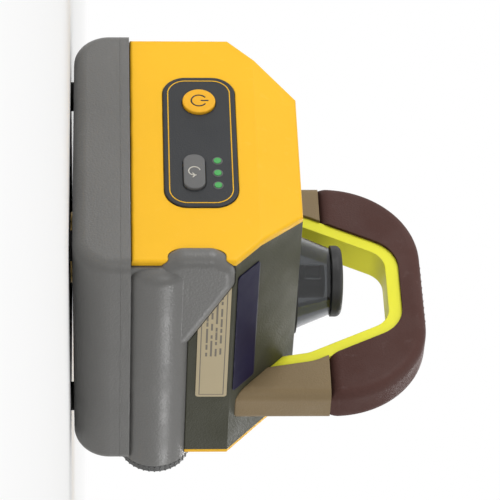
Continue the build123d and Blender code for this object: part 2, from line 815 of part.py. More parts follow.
for low in (seat_bottom, core_top - bearing_height):
    bearing = rod_z(bearing_radius, 0, 0, low, low + bearing_height)
    bearing -= rod_z(spindle_radius + running_fit, 0, 0, low - cut_margin, low + bearing_height + cut_margin)
    bearings.append(bearing)
save_on_axis("spindle_bearings", Compound(children=bearings), len(bearings))
drive_motor = rod_z(motor_radius, 0, motor_offset, flange_bottom - motor_length, flange_bottom)
drive_motor -= rod_z(motor_shaft_radius + running_fit, 0, motor_offset,
                     flange_bottom - motor_shaft_sink - part_gap, flange_bottom + cut_margin)
save_on_axis("drive_motor", drive_motor, 1)

# Rotor: hollow spindle, pulley, head and prism.
spindle_bottom = seat_bottom + spindle_sink
pulley_top = pulley_bottom + pulley_height
rotor_top = rotor_bottom + rotor_height
prism_floor = rotor_bottom + rotor_floor
spindle = rod_z(spindle_radius, 0, 0, spindle_bottom, prism_floor)
spindle -= rod_z(spindle_bore_radius, 0, 0, spindle_bottom - cut_margin, prism_floor + cut_margin)
save_on_axis("rotor_spindle", spindle, 1)
rotor_pulley = rod_z(rotor_pulley_radius, 0, 0, pulley_bottom, pulley_top)
rotor_pulley -= rod_z(spindle_radius, 0, 0, pulley_bottom - cut_margin, pulley_top + cut_margin)
save_on_axis("rotor_pulley", rotor_pulley, 1)
head = rod_z(rotor_radius, 0, 0, rotor_bottom, rotor_top)
head = fillet([e for e in head.edges() if abs(e.center().Z - rotor_top) < tolerance], rotor_edge_round)
head -= rod_z(spindle_radius, 0, 0, rotor_bottom - cut_margin, prism_floor)
head -= block(-prism_width / 2, prism_width / 2, -rotor_radius - cut_margin, prism_depth / 2,
              prism_floor, rotor_top - rotor_roof)
save_on_axis("rotor_head", head, 1)
prism = block(-prism_width / 2, prism_width / 2, prism_setback - prism_depth, prism_depth / 2,
              prism_floor, rotor_top - rotor_roof)
save_on_axis("beam_prism", prism, 1)
motor_pulley = rod_z(motor_pulley_radius, 0, motor_offset, pulley_bottom, pulley_top)
motor_pulley += rod_z(motor_shaft_radius, 0, motor_offset, flange_bottom - motor_shaft_sink, pulley_bottom)
save_on_axis("motor_pulley", motor_pulley, 1)


def belt_face(grow):
    return make_hull([*(Circle(rotor_pulley_radius + grow)).edges(),
                      *(Pos(0, motor_offset) * Circle(motor_pulley_radius + grow)).edges()])


belt_low = pulley_bottom + (pulley_height - belt_width) / 2
belt_face_ring = belt_face(part_gap + belt_thickness) - belt_face(part_gap)
save_on_axis("drive_belt", Pos(0, 0, belt_low) * extrude(belt_face_ring, amount=belt_width), 1)

# Levelling drive: one yoke across each axis, driven by a screw and guided by a rod.
def yoke_along_x(height, rotate):
    plate = block(-yoke_half_length, yoke_half_length, -rod_offset, rod_offset,
                  height - yoke_thickness / 2, height + yoke_thickness / 2)
    for sign in (-1, 1):
        plate += block(-yoke_half_length, yoke_half_length, sign * rod_offset - yoke_end_width / 2,
                       sign * rod_offset + yoke_end_width / 2, height - yoke_end_height / 2,
                       height + yoke_end_height / 2)
        plate -= rod_x(rod_radius + running_fit, sign * rod_offset, height, -yoke_half_length - cut_margin,
                       yoke_half_length + cut_margin)
    slot = SlotCenterToCenter(2 * slot_travel, 2 * (tip_radius + slot_play), rotation=90)
    plate -= Pos(0, 0, height - yoke_thickness) * extrude(slot, amount=2 * yoke_thickness)
    return Rot(0, 0, 90) * mirror(plate, about=Plane.XZ) if rotate else plate


save_on_axis("yoke_x", yoke_along_x(yoke_x_height, False), 1)
save_on_axis("yoke_y", yoke_along_x(yoke_y_height, True), 1)
screw_end = bracket_out - part_gap
save_on_axis("level_screw_x", rod_x(rod_radius, -rod_offset, yoke_x_height, -bracket_out, screw_end), 1)
save_on_axis("level_screw_y", rod_y(rod_radius, -rod_offset, yoke_y_height, -screw_end, bracket_out), 1)
guide_rods = [rod_x(rod_radius, rod_offset, yoke_x_height, -bracket_out, bracket_out),
              rod_y(rod_radius, rod_offset, yoke_y_height, -bracket_out, bracket_out)]
save_on_axis("guide_rods", Compound(children=guide_rods), len(guide_rods))
motor_far = bracket_out + level_motor_length
level_motors = [rod_x(level_motor_radius, -rod_offset, yoke_x_height, bracket_out, motor_far),
                rod_y(level_motor_radius, -rod_offset, yoke_y_height, -motor_far, -bracket_out)]
save_on_axis("level_motors", Compound(children=level_motors), len(level_motors))

# Main circuit board on the rear cover and its chips.
main_board = block(-main_board_width / 2, main_board_width / 2, board_rear - board_thickness, board_rear,
                   main_board_bottom, main_board_top)
save("main_board", main_board, 1)
board_middle = (main_board_bottom + main_board_top) / 2
chip_y = board_rear - board_thickness - chip_height / 2
chips = []
for i in range(chip_count):
    x = (i - (chip_count - 1) / 2) * chip_pitch
    chips.append(Pos(x, chip_y, board_middle) * Box(chip_size, chip_height, chip_size))
save("board_chips", Compound(children=chips), len(chips))
print("nodes written:", len(os.listdir("parts")))
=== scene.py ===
import bpy
import json
import math
from mathutils import Matrix, Vector


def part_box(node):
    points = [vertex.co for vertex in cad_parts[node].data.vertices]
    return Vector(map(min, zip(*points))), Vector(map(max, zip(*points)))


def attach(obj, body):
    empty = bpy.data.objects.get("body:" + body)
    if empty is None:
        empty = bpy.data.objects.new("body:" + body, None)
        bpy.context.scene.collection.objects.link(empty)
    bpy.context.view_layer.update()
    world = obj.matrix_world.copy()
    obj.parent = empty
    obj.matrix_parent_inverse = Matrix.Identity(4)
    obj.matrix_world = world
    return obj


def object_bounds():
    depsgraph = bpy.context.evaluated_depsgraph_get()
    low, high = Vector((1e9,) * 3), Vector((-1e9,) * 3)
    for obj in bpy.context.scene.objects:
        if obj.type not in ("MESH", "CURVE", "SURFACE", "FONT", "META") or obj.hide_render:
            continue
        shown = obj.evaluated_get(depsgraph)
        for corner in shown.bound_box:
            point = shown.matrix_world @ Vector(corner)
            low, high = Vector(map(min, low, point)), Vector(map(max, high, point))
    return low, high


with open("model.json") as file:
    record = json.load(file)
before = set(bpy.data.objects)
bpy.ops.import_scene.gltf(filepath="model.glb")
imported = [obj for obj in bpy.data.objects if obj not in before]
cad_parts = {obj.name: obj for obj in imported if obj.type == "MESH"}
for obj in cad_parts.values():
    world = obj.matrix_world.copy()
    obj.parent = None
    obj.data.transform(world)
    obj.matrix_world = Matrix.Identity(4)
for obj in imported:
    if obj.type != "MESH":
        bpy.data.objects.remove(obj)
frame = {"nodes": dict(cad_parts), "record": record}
cadLow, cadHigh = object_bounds()
nodes = frame["nodes"]
print("frame loaded,", len(nodes), "nodes")

unit = (0.0, 1.0)


# shader helpers
def startFinish(name):
    mat = bpy.data.materials.new(name)
    mat.use_nodes = True
    tree = mat.node_tree
    coords = tree.nodes.new("ShaderNodeTexCoord").outputs["Object"]
    return mat, tree, tree.nodes["Principled BSDF"], coords


def noiseOf(tree, coords, size, detail, stretch=None):
    if stretch:  # squeezes the pattern along an axis, for scratches and brushing
        mapping = tree.nodes.new("ShaderNodeMapping")
        mapping.inputs["Scale"].default_value = stretch
        tree.links.new(coords, mapping.inputs["Vector"])
        coords = mapping.outputs["Vector"]
    noise = tree.nodes.new("ShaderNodeTexNoise")
    noise.inputs["Scale"].default_value = 1 / size
    noise.inputs["Detail"].default_value = detail
    tree.links.new(coords, noise.inputs["Vector"])
    return noise.outputs["Fac"]


def remap(tree, value, fromRange, toRange):
    node = tree.nodes.new("ShaderNodeMapRange")
    for label, numbers in (("From", fromRange), ("To", toRange)):
        for end, number in zip((" Min", " Max"), numbers):
            node.inputs[label + end].default_value = number
    tree.links.new(value, node.inputs["Value"])
    return node.outputs["Result"]


def mathOf(tree, operation, first, second=0.0):
    node = tree.nodes.new("ShaderNodeMath")
    node.operation = operation
    for socket, value in zip(node.inputs, (first, second)):
        if isinstance(value, (int, float)):
            socket.default_value = value
        else:
            tree.links.new(value, socket)
    return node.outputs[0]


def mixColor(tree, factor, first, second):
    node = tree.nodes.new("ShaderNodeMix")
    node.data_type = "RGBA"
    tree.links.new(factor, node.inputs[0])
    for socket, value in ((node.inputs[6], first), (node.inputs[7], second)):  # the two colour sockets
        if isinstance(value, (tuple, list)):
            socket.default_value = (*value, 1.0)
        else:
            tree.links.new(value, socket)
    return node.outputs[2]


def scaled(color, amount):
    return tuple(min(1.0, c * amount) for c in color)


def mottled(tree, factor, color, shade):
    darker, lighter = shade
    return mixColor(tree, factor, scaled(color, darker), scaled(color, lighter))


def roughBy(tree, shader, noise, noiseRange, rough):
    tree.links.new(remap(tree, noise, noiseRange, rough), shader.inputs["Roughness"])


def bumpFrom(tree, shader, height, look, base=None):
    bump = tree.nodes.new("ShaderNodeBump")
    bump.inputs["Distance"].default_value = look["depth"]
    bump.inputs["Strength"].default_value = look["bump"]
    tree.links.new(height, bump.inputs["Height"])
    if base:
        tree.links.new(base, bump.inputs["Normal"])
    tree.links.new(bump.outputs["Normal"], shader.inputs["Normal"])


# rubbed edges and painted shade in corners, alike on every moulded piece
edgeWear = {"samples": 6, "turn": (0.995, 0.86), "patch": 0.009, "patchDetail": 3.0,
            "patchRange": (0.42, 0.62), "patchTo": (0.15, 1.0)}
# painted shade: how far the ambient occlusion reaches and how patchy the darkened corners are
cornerShadePainted = {"samples": 6, "reach": 0.005, "shut": (0.9, 0.45), "patch": 0.012, "patchDetail": 4.0,
              "patchRange": (0.35, 0.65), "patchTo": (0.35, 1.0)}


def patchy(tree, coords, mask, look):
    noise = noiseOf(tree, coords, look["patch"], look["patchDetail"])
    return mathOf(tree, "MULTIPLY", mask, remap(tree, noise, look["patchRange"], look["patchTo"]))


def softEdge(tree, width):
    bevel = tree.nodes.new("ShaderNodeBevel")
    bevel.samples = edgeWear["samples"]
    bevel.inputs["Radius"].default_value = width
    return bevel.outputs["Normal"]


def edgeMask(tree, coords, softNormal):
    # where the surface turns within the soft edge's width, patchy so that the rubbed edge isn't even
    geometry = tree.nodes.new("ShaderNodeNewGeometry")
    dot = tree.nodes.new("ShaderNodeVectorMath")
    dot.operation = "DOT_PRODUCT"
    tree.links.new(softNormal, dot.inputs[0])
    tree.links.new(geometry.outputs["Normal"], dot.inputs[1])
    return patchy(tree, coords, remap(tree, dot.outputs["Value"], edgeWear["turn"], unit), edgeWear)


def paintedShadeMask(tree, coords):
    # painted shade: corners and joints that ambient occlusion finds are darkened
    shut = tree.nodes.new("ShaderNodeAmbientOcclusion")
    shut.samples = cornerShadePainted["samples"]
    shut.inputs["Distance"].default_value = cornerShadePainted["reach"]
    return patchy(tree, coords, remap(tree, shut.outputs["AO"], cornerShadePainted["shut"], unit), cornerShadePainted)


# what a moulded plastic or rubber has unless its own entry says otherwise
# the painted shade entries set how strongly corners are darkened and to what share of the colour
mouldedLook = {"mottle": 0.05, "mottleDetail": 4.0, "tone": 0.05,
               "markSize": 0.006, "markDetail": 5.0, "markStretch": (1.0, 0.12, 1.0),
               "markRange": (0.62, 0.74), "marks": 0.25, "markTint": 1.35,
               "edge": 0.0009, "wear": 0.5, "wornTint": 1.5,
               "paintedShade": 0.6, "paintedShadeTint": 0.5, "smudge": 0.022, "smudgeDetail": 3.0, "smudgeRange": (0.3, 0.7),
               "specular": 0.4, "grain": 0.0011, "grainDetail": 2.0, "depth": 0.0002, "bump": 0.35}


def moulded(name, own):
    # mottled colour, fine grain, rub marks, worn edges and painted shade in corners
    look = {**mouldedLook, **own}
    mat, tree, shader, coords = startFinish(name)
    color, tone = look["color"], look["tone"]
    mottle = noiseOf(tree, coords, look["mottle"], look["mottleDetail"])
    shade = mottled(tree, mottle, color, (1 - tone, 1 + tone))
    marks = noiseOf(tree, coords, look["markSize"], look["markDetail"], look["markStretch"])
    marks = remap(tree, marks, look["markRange"], (0.0, look["marks"]))
    shade = mixColor(tree, marks, shade, look.get("markColor", scaled(color, look["markTint"])))
    softNormal = softEdge(tree, look["edge"])
    worn = mathOf(tree, "MULTIPLY", edgeMask(tree, coords, softNormal), look["wear"])
    shade = mixColor(tree, worn, shade, look.get("wornColor", scaled(color, look["wornTint"])))
    # painted shade: corners and joints darkened towards half the colour
    paintedShadeAmount = mathOf(tree, "MULTIPLY", paintedShadeMask(tree, coords), look["paintedShade"])
    shade = mixColor(tree, paintedShadeAmount, shade, scaled(color, look["paintedShadeTint"]))
    tree.links.new(shade, shader.inputs["Base Color"])
    smudge = noiseOf(tree, coords, look["smudge"], look["smudgeDetail"])
    roughBy(tree, shader, smudge, look["smudgeRange"], look["rough"])
    shader.inputs["Specular IOR Level"].default_value = look["specular"]
    grain = noiseOf(tree, coords, look["grain"], look["grainDetail"])
    bumpFrom(tree, shader, grain, look, softNormal)
    return mat


metalLook = {"grain": 0.0012, "grainDetail": 4.0, "stretch": (1.0, 1.0, 0.08), "shade": (0.86, 1.08),
             "brushRange": (0.3, 0.7), "depth": 0.0001, "bump": 0.3}


def metal(name, own):
    # streaks in colour, gloss and bump, drawn out along its height unless its entry has another stretch
    look = {**metalLook, **own}
    mat, tree, shader, coords = startFinish(name)
    brushed = noiseOf(tree, coords, look["grain"], look["grainDetail"], look["stretch"])
    tree.links.new(mottled(tree, brushed, look["color"], look["shade"]), shader.inputs["Base Color"])
    shader.inputs["Metallic"].default_value = 1.0
    roughBy(tree, shader, brushed, look["brushRange"], look["rough"])
    bumpFrom(tree, shader, brushed, look)
    return mat


clearLook = {"smear": 0.018, "smearDetail": 4.0, "stretch": (1.0, 1.0, 0.4), "shade": (0.92, 1.06),
             "smearRange": (0.35, 0.75), "ior": 1.45}


def clear(name, own):
    # glass and lamp lenses with wiped smears
    look = {**clearLook, **own}
    mat, tree, shader, coords = startFinish(name)
    smear = noiseOf(tree, coords, look["smear"], look["smearDetail"], look["stretch"])
    tree.links.new(mottled(tree, smear, look["color"], look["shade"]), shader.inputs["Base Color"])
    roughBy(tree, shader, smear, look["smearRange"], look["rough"])
    shader.inputs["Transmission Weight"].default_value = look["through"]
    shader.inputs["IOR"].default_value = look["ior"]
    return mat


def labelInk(tree, coords, look):
    # a ruled frame inside the edge, and rows of dashes of uneven length, like blank form fields
    low, high = look["box"]
    split = tree.nodes.new("ShaderNodeSeparateXYZ")
    tree.links.new(coords, split.inputs[0])
    y, z = split.outputs["Y"], split.outputs["Z"]
    fromFoot = mathOf(tree, "SUBTRACT", z, low.z)
    near = mathOf(tree, "SUBTRACT", y, low.y)
    for other in (mathOf(tree, "SUBTRACT", high.y, y), fromFoot, mathOf(tree, "SUBTRACT", high.z, z)):
        near = mathOf(tree, "MINIMUM", near, other)
    ruled = mathOf(tree, "COMPARE", near, look["inset"])
    ruled.node.inputs[2].default_value = look["line"]  # half the frame line's width

    halfRow = look["row"] / 2
    row = mathOf(tree, "LESS_THAN", mathOf(tree, "PINGPONG", fromFoot, halfRow), look["rowLine"])
    inside = mathOf(tree, "GREATER_THAN", near, look["inset"] + halfRow)
    left = mathOf(tree, "LESS_THAN", y, low.y + (high.y - low.y) * look["rowsTo"])
    fromRow = mathOf(tree, "SUBTRACT", z, low.z - halfRow)
    rowNumber = mathOf(tree, "FLOOR", mathOf(tree, "DIVIDE", fromRow, look["row"]))
    along = mathOf(tree, "DIVIDE", y, look["dash"])
    spread = tree.nodes.new("ShaderNodeTexNoise")
    spread.noise_dimensions = "1D"
    spread.inputs["Scale"].default_value = 1.0
    spread.inputs["Detail"].default_value = 1.0
    slid = mathOf(tree, "ADD", along, mathOf(tree, "MULTIPLY", rowNumber, look["rowShift"]))
    tree.links.new(slid, spread.inputs["W"])
    rows = mathOf(tree, "GREATER_THAN", spread.outputs["Fac"], look["dashCut"])
    for limit in (row, inside, left):
        rows = mathOf(tree, "MULTIPLY", rows, limit)
    return mathOf(tree, "MULTIPLY", mathOf(tree, "MAXIMUM", ruled, rows), look["ink"])


def labelFilm(name, look):
    # pale printed film
    mat, tree, shader, coords = startFinish(name)
    fade = noiseOf(tree, coords, look["fade"], look["fadeDetail"])
    paper = mottled(tree, fade, look["color"], look["shade"])
    ink = labelInk(tree, coords, look)
    tree.links.new(mixColor(tree, ink, paper, look["inkColor"]), shader.inputs["Base Color"])
    smudge = noiseOf(tree, coords, look["smudge"], look["smudgeDetail"])
    roughBy(tree, shader, smudge, look["smudgeRange"], look["rough"])
    bumpFrom(tree, shader, noiseOf(tree, coords, look["grain"], look["grainDetail"]), look)
    return mat


# one entry for each material slot of the record
finishLooks = {
    "housing_grey": (moulded, {
        "color": (0.138, 0.136, 0.13), "rough": (0.3, 0.46), "grain": 0.0013, "depth": 0.0004, "bump": 0.5,
        "tone": 0.12, "marks": 0.3, "wear": 0.5, "specular": 0.42}),
    "shell_dark": (moulded, {
        "color": (0.044, 0.044, 0.026), "rough": (0.45, 0.62), "grain": 0.0012, "depth": 0.0004, "bump": 0.5,
        "tone": 0.12, "marks": 0.3, "wear": 0.45, "specular": 0.24}),
    "cover_yellow": (moulded, {
        "color": (0.93, 0.51, 0.014), "rough": (0.36, 0.52), "grain": 0.0016, "depth": 0.0002, "bump": 0.35,
        "tone": 0.04, "marks": 0.14, "markColor": (0.96, 0.64, 0.1), "wear": 0.4,
        "wornColor": (0.97, 0.66, 0.13), "specular": 0.22}),
    "handle_lemon": (moulded, {
        "color": (0.9, 0.87, 0.042), "rough": (0.36, 0.5), "grain": 0.0014, "depth": 0.0002, "bump": 0.3,
        "tone": 0.06, "marks": 0.15, "markColor": (0.88, 0.86, 0.25), "wear": 0.4,
        "wornColor": (0.93, 0.9, 0.3), "specular": 0.22}),
    "grip_rubber": (moulded, {
        "color": (0.074, 0.031, 0.025), "rough": (0.55, 0.75), "grain": 0.0012, "depth": 0.0004, "bump": 0.5,
        "tone": 0.15, "marks": 0.3, "markColor": (0.14, 0.09, 0.085), "wear": 0.55,
        "wornColor": (0.17, 0.11, 0.1), "specular": 0.22}),
    "feet_grey": (moulded, {
        "color": (0.235, 0.168, 0.085), "rough": (0.45, 0.6), "grain": 0.0012, "depth": 0.0004, "bump": 0.5,
        "tone": 0.09, "specular": 0.28}),
    "black_rubber": (moulded, {
        "color": (0.022, 0.022, 0.022), "rough": (0.6, 0.8), "grain": 0.001, "depth": 0.0003, "bump": 0.5,
        "tone": 0.2, "wear": 0.3}),
    "insert_brass": (metal, {"color": (0.72, 0.5, 0.2), "rough": (0.22, 0.4)}),
    "plate_white": (labelFilm, {
        "color": (0.46, 0.375, 0.22), "shade": (0.92, 1.0), "fade": 0.03, "fadeDetail": 4.0,
        "rough": (0.32, 0.5), "smudge": 0.02, "smudgeDetail": 3.0, "smudgeRange": (0.3, 0.7),
        "grain": 0.0008, "grainDetail": 2.0, "depth": 0.0001, "bump": 0.2,
        "box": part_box("side_plate"), "inset": 0.0022, "line": 0.0003, "row": 0.0028, "rowLine": 0.0006,
        "rowShift": 7.3, "rowsTo": 0.62, "dash": 0.005, "dashCut": 0.44, "ink": 0.8,
        "inkColor": (0.06, 0.055, 0.05)}),
    "band_navy": (moulded, {
        "color": (0.007, 0.006, 0.032), "rough": (0.3, 0.46), "grain": 0.0009, "depth": 0.0001, "bump": 0.25,
        "tone": 0.14, "wear": 0.4, "wornColor": (0.16, 0.15, 0.22), "specular": 0.12}),
    "lantern_glass": (clear, {"color": (0.25, 0.26, 0.27), "rough": (0.02, 0.1), "through": 0.97}),
    "roof_black": (moulded, {
        "color": (0.026, 0.026, 0.026), "rough": (0.38, 0.58), "grain": 0.0011, "depth": 0.0004, "bump": 0.5,
        "tone": 0.15, "wear": 0.4, "specular": 0.3}),
    "seal_dark": (moulded, {"color": (0.04, 0.04, 0.038), "rough": (0.5, 0.7), "tone": 0.12}),
    "panel_charcoal": (moulded, {
        "color": (0.028, 0.03, 0.033), "rough": (0.38, 0.54), "grain": 0.0009, "depth": 0.0003, "bump": 0.45,
        "tone": 0.12, "wear": 0.35, "specular": 0.25}),
    "button_yellow": (moulded, {
        "color": (0.86, 0.44, 0.018), "rough": (0.45, 0.6), "tone": 0.06, "wear": 0.5,
        "wornColor": (0.95, 0.62, 0.16), "specular": 0.25}),
    "button_grey": (moulded, {
        "color": (0.13, 0.13, 0.13), "rough": (0.5, 0.65), "tone": 0.08, "wear": 0.5, "specular": 0.3}),
    "lamp_lens": (clear, {"color": (0.12, 0.62, 0.16), "rough": (0.1, 0.25), "through": 0.35}),
    "board_green": (moulded, {"color": (0.02, 0.14, 0.06), "rough": (0.3, 0.45), "tone": 0.1}),
    "chip_black": (moulded, {"color": (0.02, 0.02, 0.021), "rough": (0.45, 0.6), "tone": 0.1}),
    "cap_grey": (moulded, {
        "color": (0.1, 0.1, 0.099), "rough": (0.42, 0.58), "grain": 0.0011, "depth": 0.0004, "bump": 0.5,
        "tone": 0.1, "wear": 0.6, "specular": 0.3}),
    "cell_wrap": (moulded, {"color": (0.32, 0.17, 0.05), "rough": (0.2, 0.35), "tone": 0.06}),
    "steel": (metal, {"color": (0.6, 0.6, 0.61), "rough": (0.22, 0.42)}),
    "alloy": (metal, {
        "color": (0.66, 0.67, 0.68), "rough": (0.35, 0.55), "grain": 0.002, "stretch": (1.0, 1.0, 1.0)}),
    "core_alloy": (metal, {"color": (0.32, 0.32, 0.34), "rough": (0.3, 0.5)}),
    "lens_glass": (clear, {"color": (0.86, 0.92, 0.92), "rough": (0.0, 0.06), "through": 0.95, "ior": 1.5}),
    "pulley_plastic": (moulded, {"color": (0.6, 0.57, 0.5), "rough": (0.4, 0.55), "tone": 0.06}),
    "rotor_black": (moulded, {"color": (0.05, 0.05, 0.052), "rough": (0.25, 0.4), "tone": 0.1}),
    "motor_can": (metal, {"color": (0.5, 0.5, 0.51), "rough": (0.3, 0.45)}),
    "vial_glass": (clear, {"color": (0.6, 0.82, 0.2), "rough": (0.0, 0.08), "through": 0.85}),
}
finishes = {slot: build(slot, look) for slot, (build, look) in finishLooks.items()}
for part in frame["record"]["subparts"]:
    mesh = nodes[part["node"]].data
    mesh.materials.clear()
    mesh.materials.append(finishes[part["material_slot"]])
print("finishes on the nodes,", len(finishes))


# geometry node helpers
def startTree(name, ints=(), floats=(), vectors=()):
    tree = bpy.data.node_groups.new(name, "GeometryNodeTree")
    kinds = {"NodeSocketInt": ints, "NodeSocketFloat": floats, "NodeSocketVector": vectors,
             "NodeSocketMaterial": ("Material",)}
    for kind, labels in kinds.items():
        for label in labels:
            tree.interface.new_socket(label, in_out="INPUT", socket_type=kind)
    tree.interface.new_socket("Geometry", in_out="OUTPUT", socket_type="NodeSocketGeometry")
    return tree, tree.nodes.new("NodeGroupInput"), tree.nodes.new("NodeGroupOutput")


def nodeWith(tree, kind, **settings):
    node = tree.nodes.new(kind)
    for key, value in settings.items():
        node.inputs[key].default_value = value
    return node


def feed(tree, groupIn, node, sockets):
    # each of these sockets of the node takes the tree's input of that name
    for socket, label in sockets.items():
        tree.links.new(groupIn.outputs[label], node.inputs[socket])


def placeOn(tree, points, instance):
    place = tree.nodes.new("GeometryNodeInstanceOnPoints")
    tree.links.new(points, place.inputs["Points"])
    tree.links.new(instance, place.inputs["Instance"])
    return place


def spacedRow(tree, groupIn, count):
    # points a pitch apart along X
    step = tree.nodes.new("ShaderNodeCombineXYZ")
    row = tree.nodes.new("GeometryNodeMeshLine")
    feed(tree, groupIn, step, {"X": "Pitch"})
    feed(tree, groupIn, row, {"Count": count})
    tree.links.new(step.outputs["Vector"], row.inputs["Offset"])
    return row.outputs["Mesh"]


def beadAlong(tree, groupIn, curve, sides):
    # round stock bent along a curve
    profile = nodeWith(tree, "GeometryNodeCurvePrimitiveCircle", Resolution=sides)
    sweep = nodeWith(tree, "GeometryNodeCurveToMesh", **{"Fill Caps": True})
    smooth = tree.nodes.new("GeometryNodeSetShadeSmooth")
    feed(tree, groupIn, profile, {"Radius": "Bead Radius"})
    tree.links.new(curve, sweep.inputs["Curve"])
    tree.links.new(profile.outputs["Curve"], sweep.inputs["Profile Curve"])
    tree.links.new(sweep.outputs["Mesh"], smooth.inputs["Geometry"])
    return smooth.outputs["Geometry"]


def endTree(tree, geometry, groupIn, groupOut):
    realize = tree.nodes.new("GeometryNodeRealizeInstances")
    paint = tree.nodes.new("GeometryNodeSetMaterial")
    tree.links.new(geometry, realize.inputs["Geometry"])
    tree.links.new(realize.outputs["Geometry"], paint.inputs["Geometry"])
    feed(tree, groupIn, paint, {"Material": "Material"})
    tree.links.new(paint.outputs["Geometry"], groupOut.inputs["Geometry"])
    return tree


def meshFrom(tree, name, values, place):
    # runs the tree on an empty mesh with these inputs and keeps a plain mesh at its place
    host = bpy.data.objects.new(name + "Host", bpy.data.meshes.new(name + "Host"))
    bpy.context.scene.collection.objects.link(host)
    modifier = host.modifiers.new("nodes", "NODES")
    modifier.node_group = tree
    for item in tree.interface.items_tree:
        if item.in_out == "INPUT" and item.name in values:
            modifier[item.identifier] = values[item.name]
    graph = bpy.context.evaluated_depsgraph_get()
    mesh = bpy.data.meshes.new_from_object(host.evaluated_get(graph))
    host.modifiers.remove(modifier)
    bpy.data.objects.remove(host)
    mesh.transform(place)
    mesh.name = name
    piece = bpy.data.objects.new(name, mesh)
    bpy.context.scene.collection.objects.link(piece)
    return piece


def onFront(x, y, z):
    # a flat piece's X and Y become the level's X and Z, and it faces -Y
    return Matrix.Translation((x, y, z)) @ Matrix.Rotation(math.pi / 2, 4, "X")


def onRear(x, y, z):
    # the same, facing +Y
    turned = Matrix.Rotation(math.pi, 4, "Z") @ Matrix.Rotation(math.pi / 2, 4, "X")
    return Matrix.Translation((x, y, z)) @ turned


def middleOf(node):
    low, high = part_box(node)
    return (low + high) / 2, low, high


# grip ribs round the rim of each battery cap
capGrip = {"ribs": 40, "ribSides": 8, "ribRadius": 0.0007, "ribLength": 0.0042, "inset": 0.0003,
           "setback": 0.003}


def capGripTree():
    tree, groupIn, groupOut = startTree("capGripRibs", ["Ribs"], ["Ring Radius", "Rib Radius", "Rib Length"])
    ring = tree.nodes.new("GeometryNodeMeshCircle")
    rib = nodeWith(tree, "GeometryNodeMeshCylinder", Vertices=capGrip["ribSides"])
    feed(tree, groupIn, ring, {"Vertices": "Ribs", "Radius": "Ring Radius"})
    feed(tree, groupIn, rib, {"Radius": "Rib Radius", "Depth": "Rib Length"})
    place = placeOn(tree, ring.outputs["Mesh"], rib.outputs["Mesh"])
    return endTree(tree, place.outputs["Instances"], groupIn, groupOut)


capTree = capGripTree()
for side in ("left", "right"):
    center, low, high = middleOf("battery_cap_" + side)
    rimRadius = (high.x - low.x) / 2
    ribs = meshFrom(capTree, "cap_grip_" + side, {
        "Ribs": capGrip["ribs"], "Ring Radius": rimRadius - capGrip["inset"],
        "Rib Radius": capGrip["ribRadius"], "Rib Length": capGrip["ribLength"],
        "Material": finishes["cap_grey"]}, onFront(center.x, high.y - capGrip["setback"], center.z))
    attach(ribs, "cap_" + side)
print("battery cap grips made")

# raised signs: an arc and two strokes of round stock, its axis sunk by a share of its radius
icons = {
    "power_icon": {"on": "power_button", "body": "power_button_body", "slot": "panel_charcoal",
                   "radius": 0.0046, "start": 125.0, "sweep": 290.0, "bead": 0.00055, "sunk": 0.4,
                   "strokes": ((0, 0.0012, 0), (0, 0.0034, 0), (0, 0.0034, 0), (0, 0.0058, 0))},
    "mode_icon": {"on": "mode_button", "body": "mode_button_body", "slot": "pulley_plastic",
                  "radius": 0.0034, "start": 100.0, "sweep": 280.0, "bead": 0.00045, "sunk": 0.4,
                  "strokes": ((0.0034, 0.0004, 0), (0.0052, -0.0012, 0),
                              (0.0034, 0.0004, 0), (0.0016, -0.0012, 0))},
}
strokeEnds = ("Stroke A From", "Stroke A To", "Stroke B From", "Stroke B To")


def signTree():
    tree, groupIn, groupOut = startTree(
        "raisedSign", floats=["Arc Radius", "Arc Start", "Arc Sweep", "Bead Radius"], vectors=strokeEnds)
    arc = nodeWith(tree, "GeometryNodeCurveArc", Resolution=40)
    joined = tree.nodes.new("GeometryNodeJoinGeometry")
    feed(tree, groupIn, arc, {"Radius": "Arc Radius", "Start Angle": "Arc Start", "Sweep Angle": "Arc Sweep"})
    tree.links.new(arc.outputs["Curve"], joined.inputs[0])
    for label in ("Stroke A", "Stroke B"):
        stroke = tree.nodes.new("GeometryNodeCurvePrimitiveLine")
        feed(tree, groupIn, stroke, {"Start": label + " From", "End": label + " To"})
        tree.links.new(stroke.outputs["Curve"], joined.inputs[0])
    bead = beadAlong(tree, groupIn, joined.outputs["Geometry"], sides=8)
    return endTree(tree, bead, groupIn, groupOut)


def raisedSign(name, look, strokes, place):
    return meshFrom(raisedTree, name, {
        "Arc Radius": look["radius"], "Arc Start": math.radians(look["start"]),
        "Arc Sweep": math.radians(look["sweep"]), "Bead Radius": look["bead"],
        **dict(zip(strokeEnds, strokes)), "Material": finishes[look["slot"]]}, place)


raisedTree = signTree()
for name, icon in icons.items():
    center, low, high = middleOf(icon["on"])
    face = onFront(center.x, low.y + icon["bead"] * icon["sunk"], center.z)
    piece = raisedSign(name, icon, icon["strokes"], face)
    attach(piece, icon["body"])
print("button icons made")

# a pale turn arrow on the face of each battery cap, beside its coin slot
capArrow = {"slot": "pulley_plastic", "radius": 0.0145, "start": 35.0, "sweep": 110.0, "bead": 0.0006,
            "sunk": 0.4, "barb": 0.0038, "barbTurns": (60, 120)}


def around(angle, radius):
    return Vector((math.cos(math.radians(angle)), math.sin(math.radians(angle)), 0)) * radius


tip = around(capArrow["start"], capArrow["radius"])
barbs = [tip + around(capArrow["start"] + turn, capArrow["barb"]) for turn in capArrow["barbTurns"]]
for side in ("left", "right"):
    center, low, high = middleOf("battery_cap_" + side)
    face = onRear(center.x, high.y - capArrow["bead"] * capArrow["sunk"], center.z)
    piece = raisedSign("cap_arrow_" + side, capArrow, (tip, barbs[0], tip, barbs[1]), face)
    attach(piece, "cap_" + side)
print("cap arrows made")

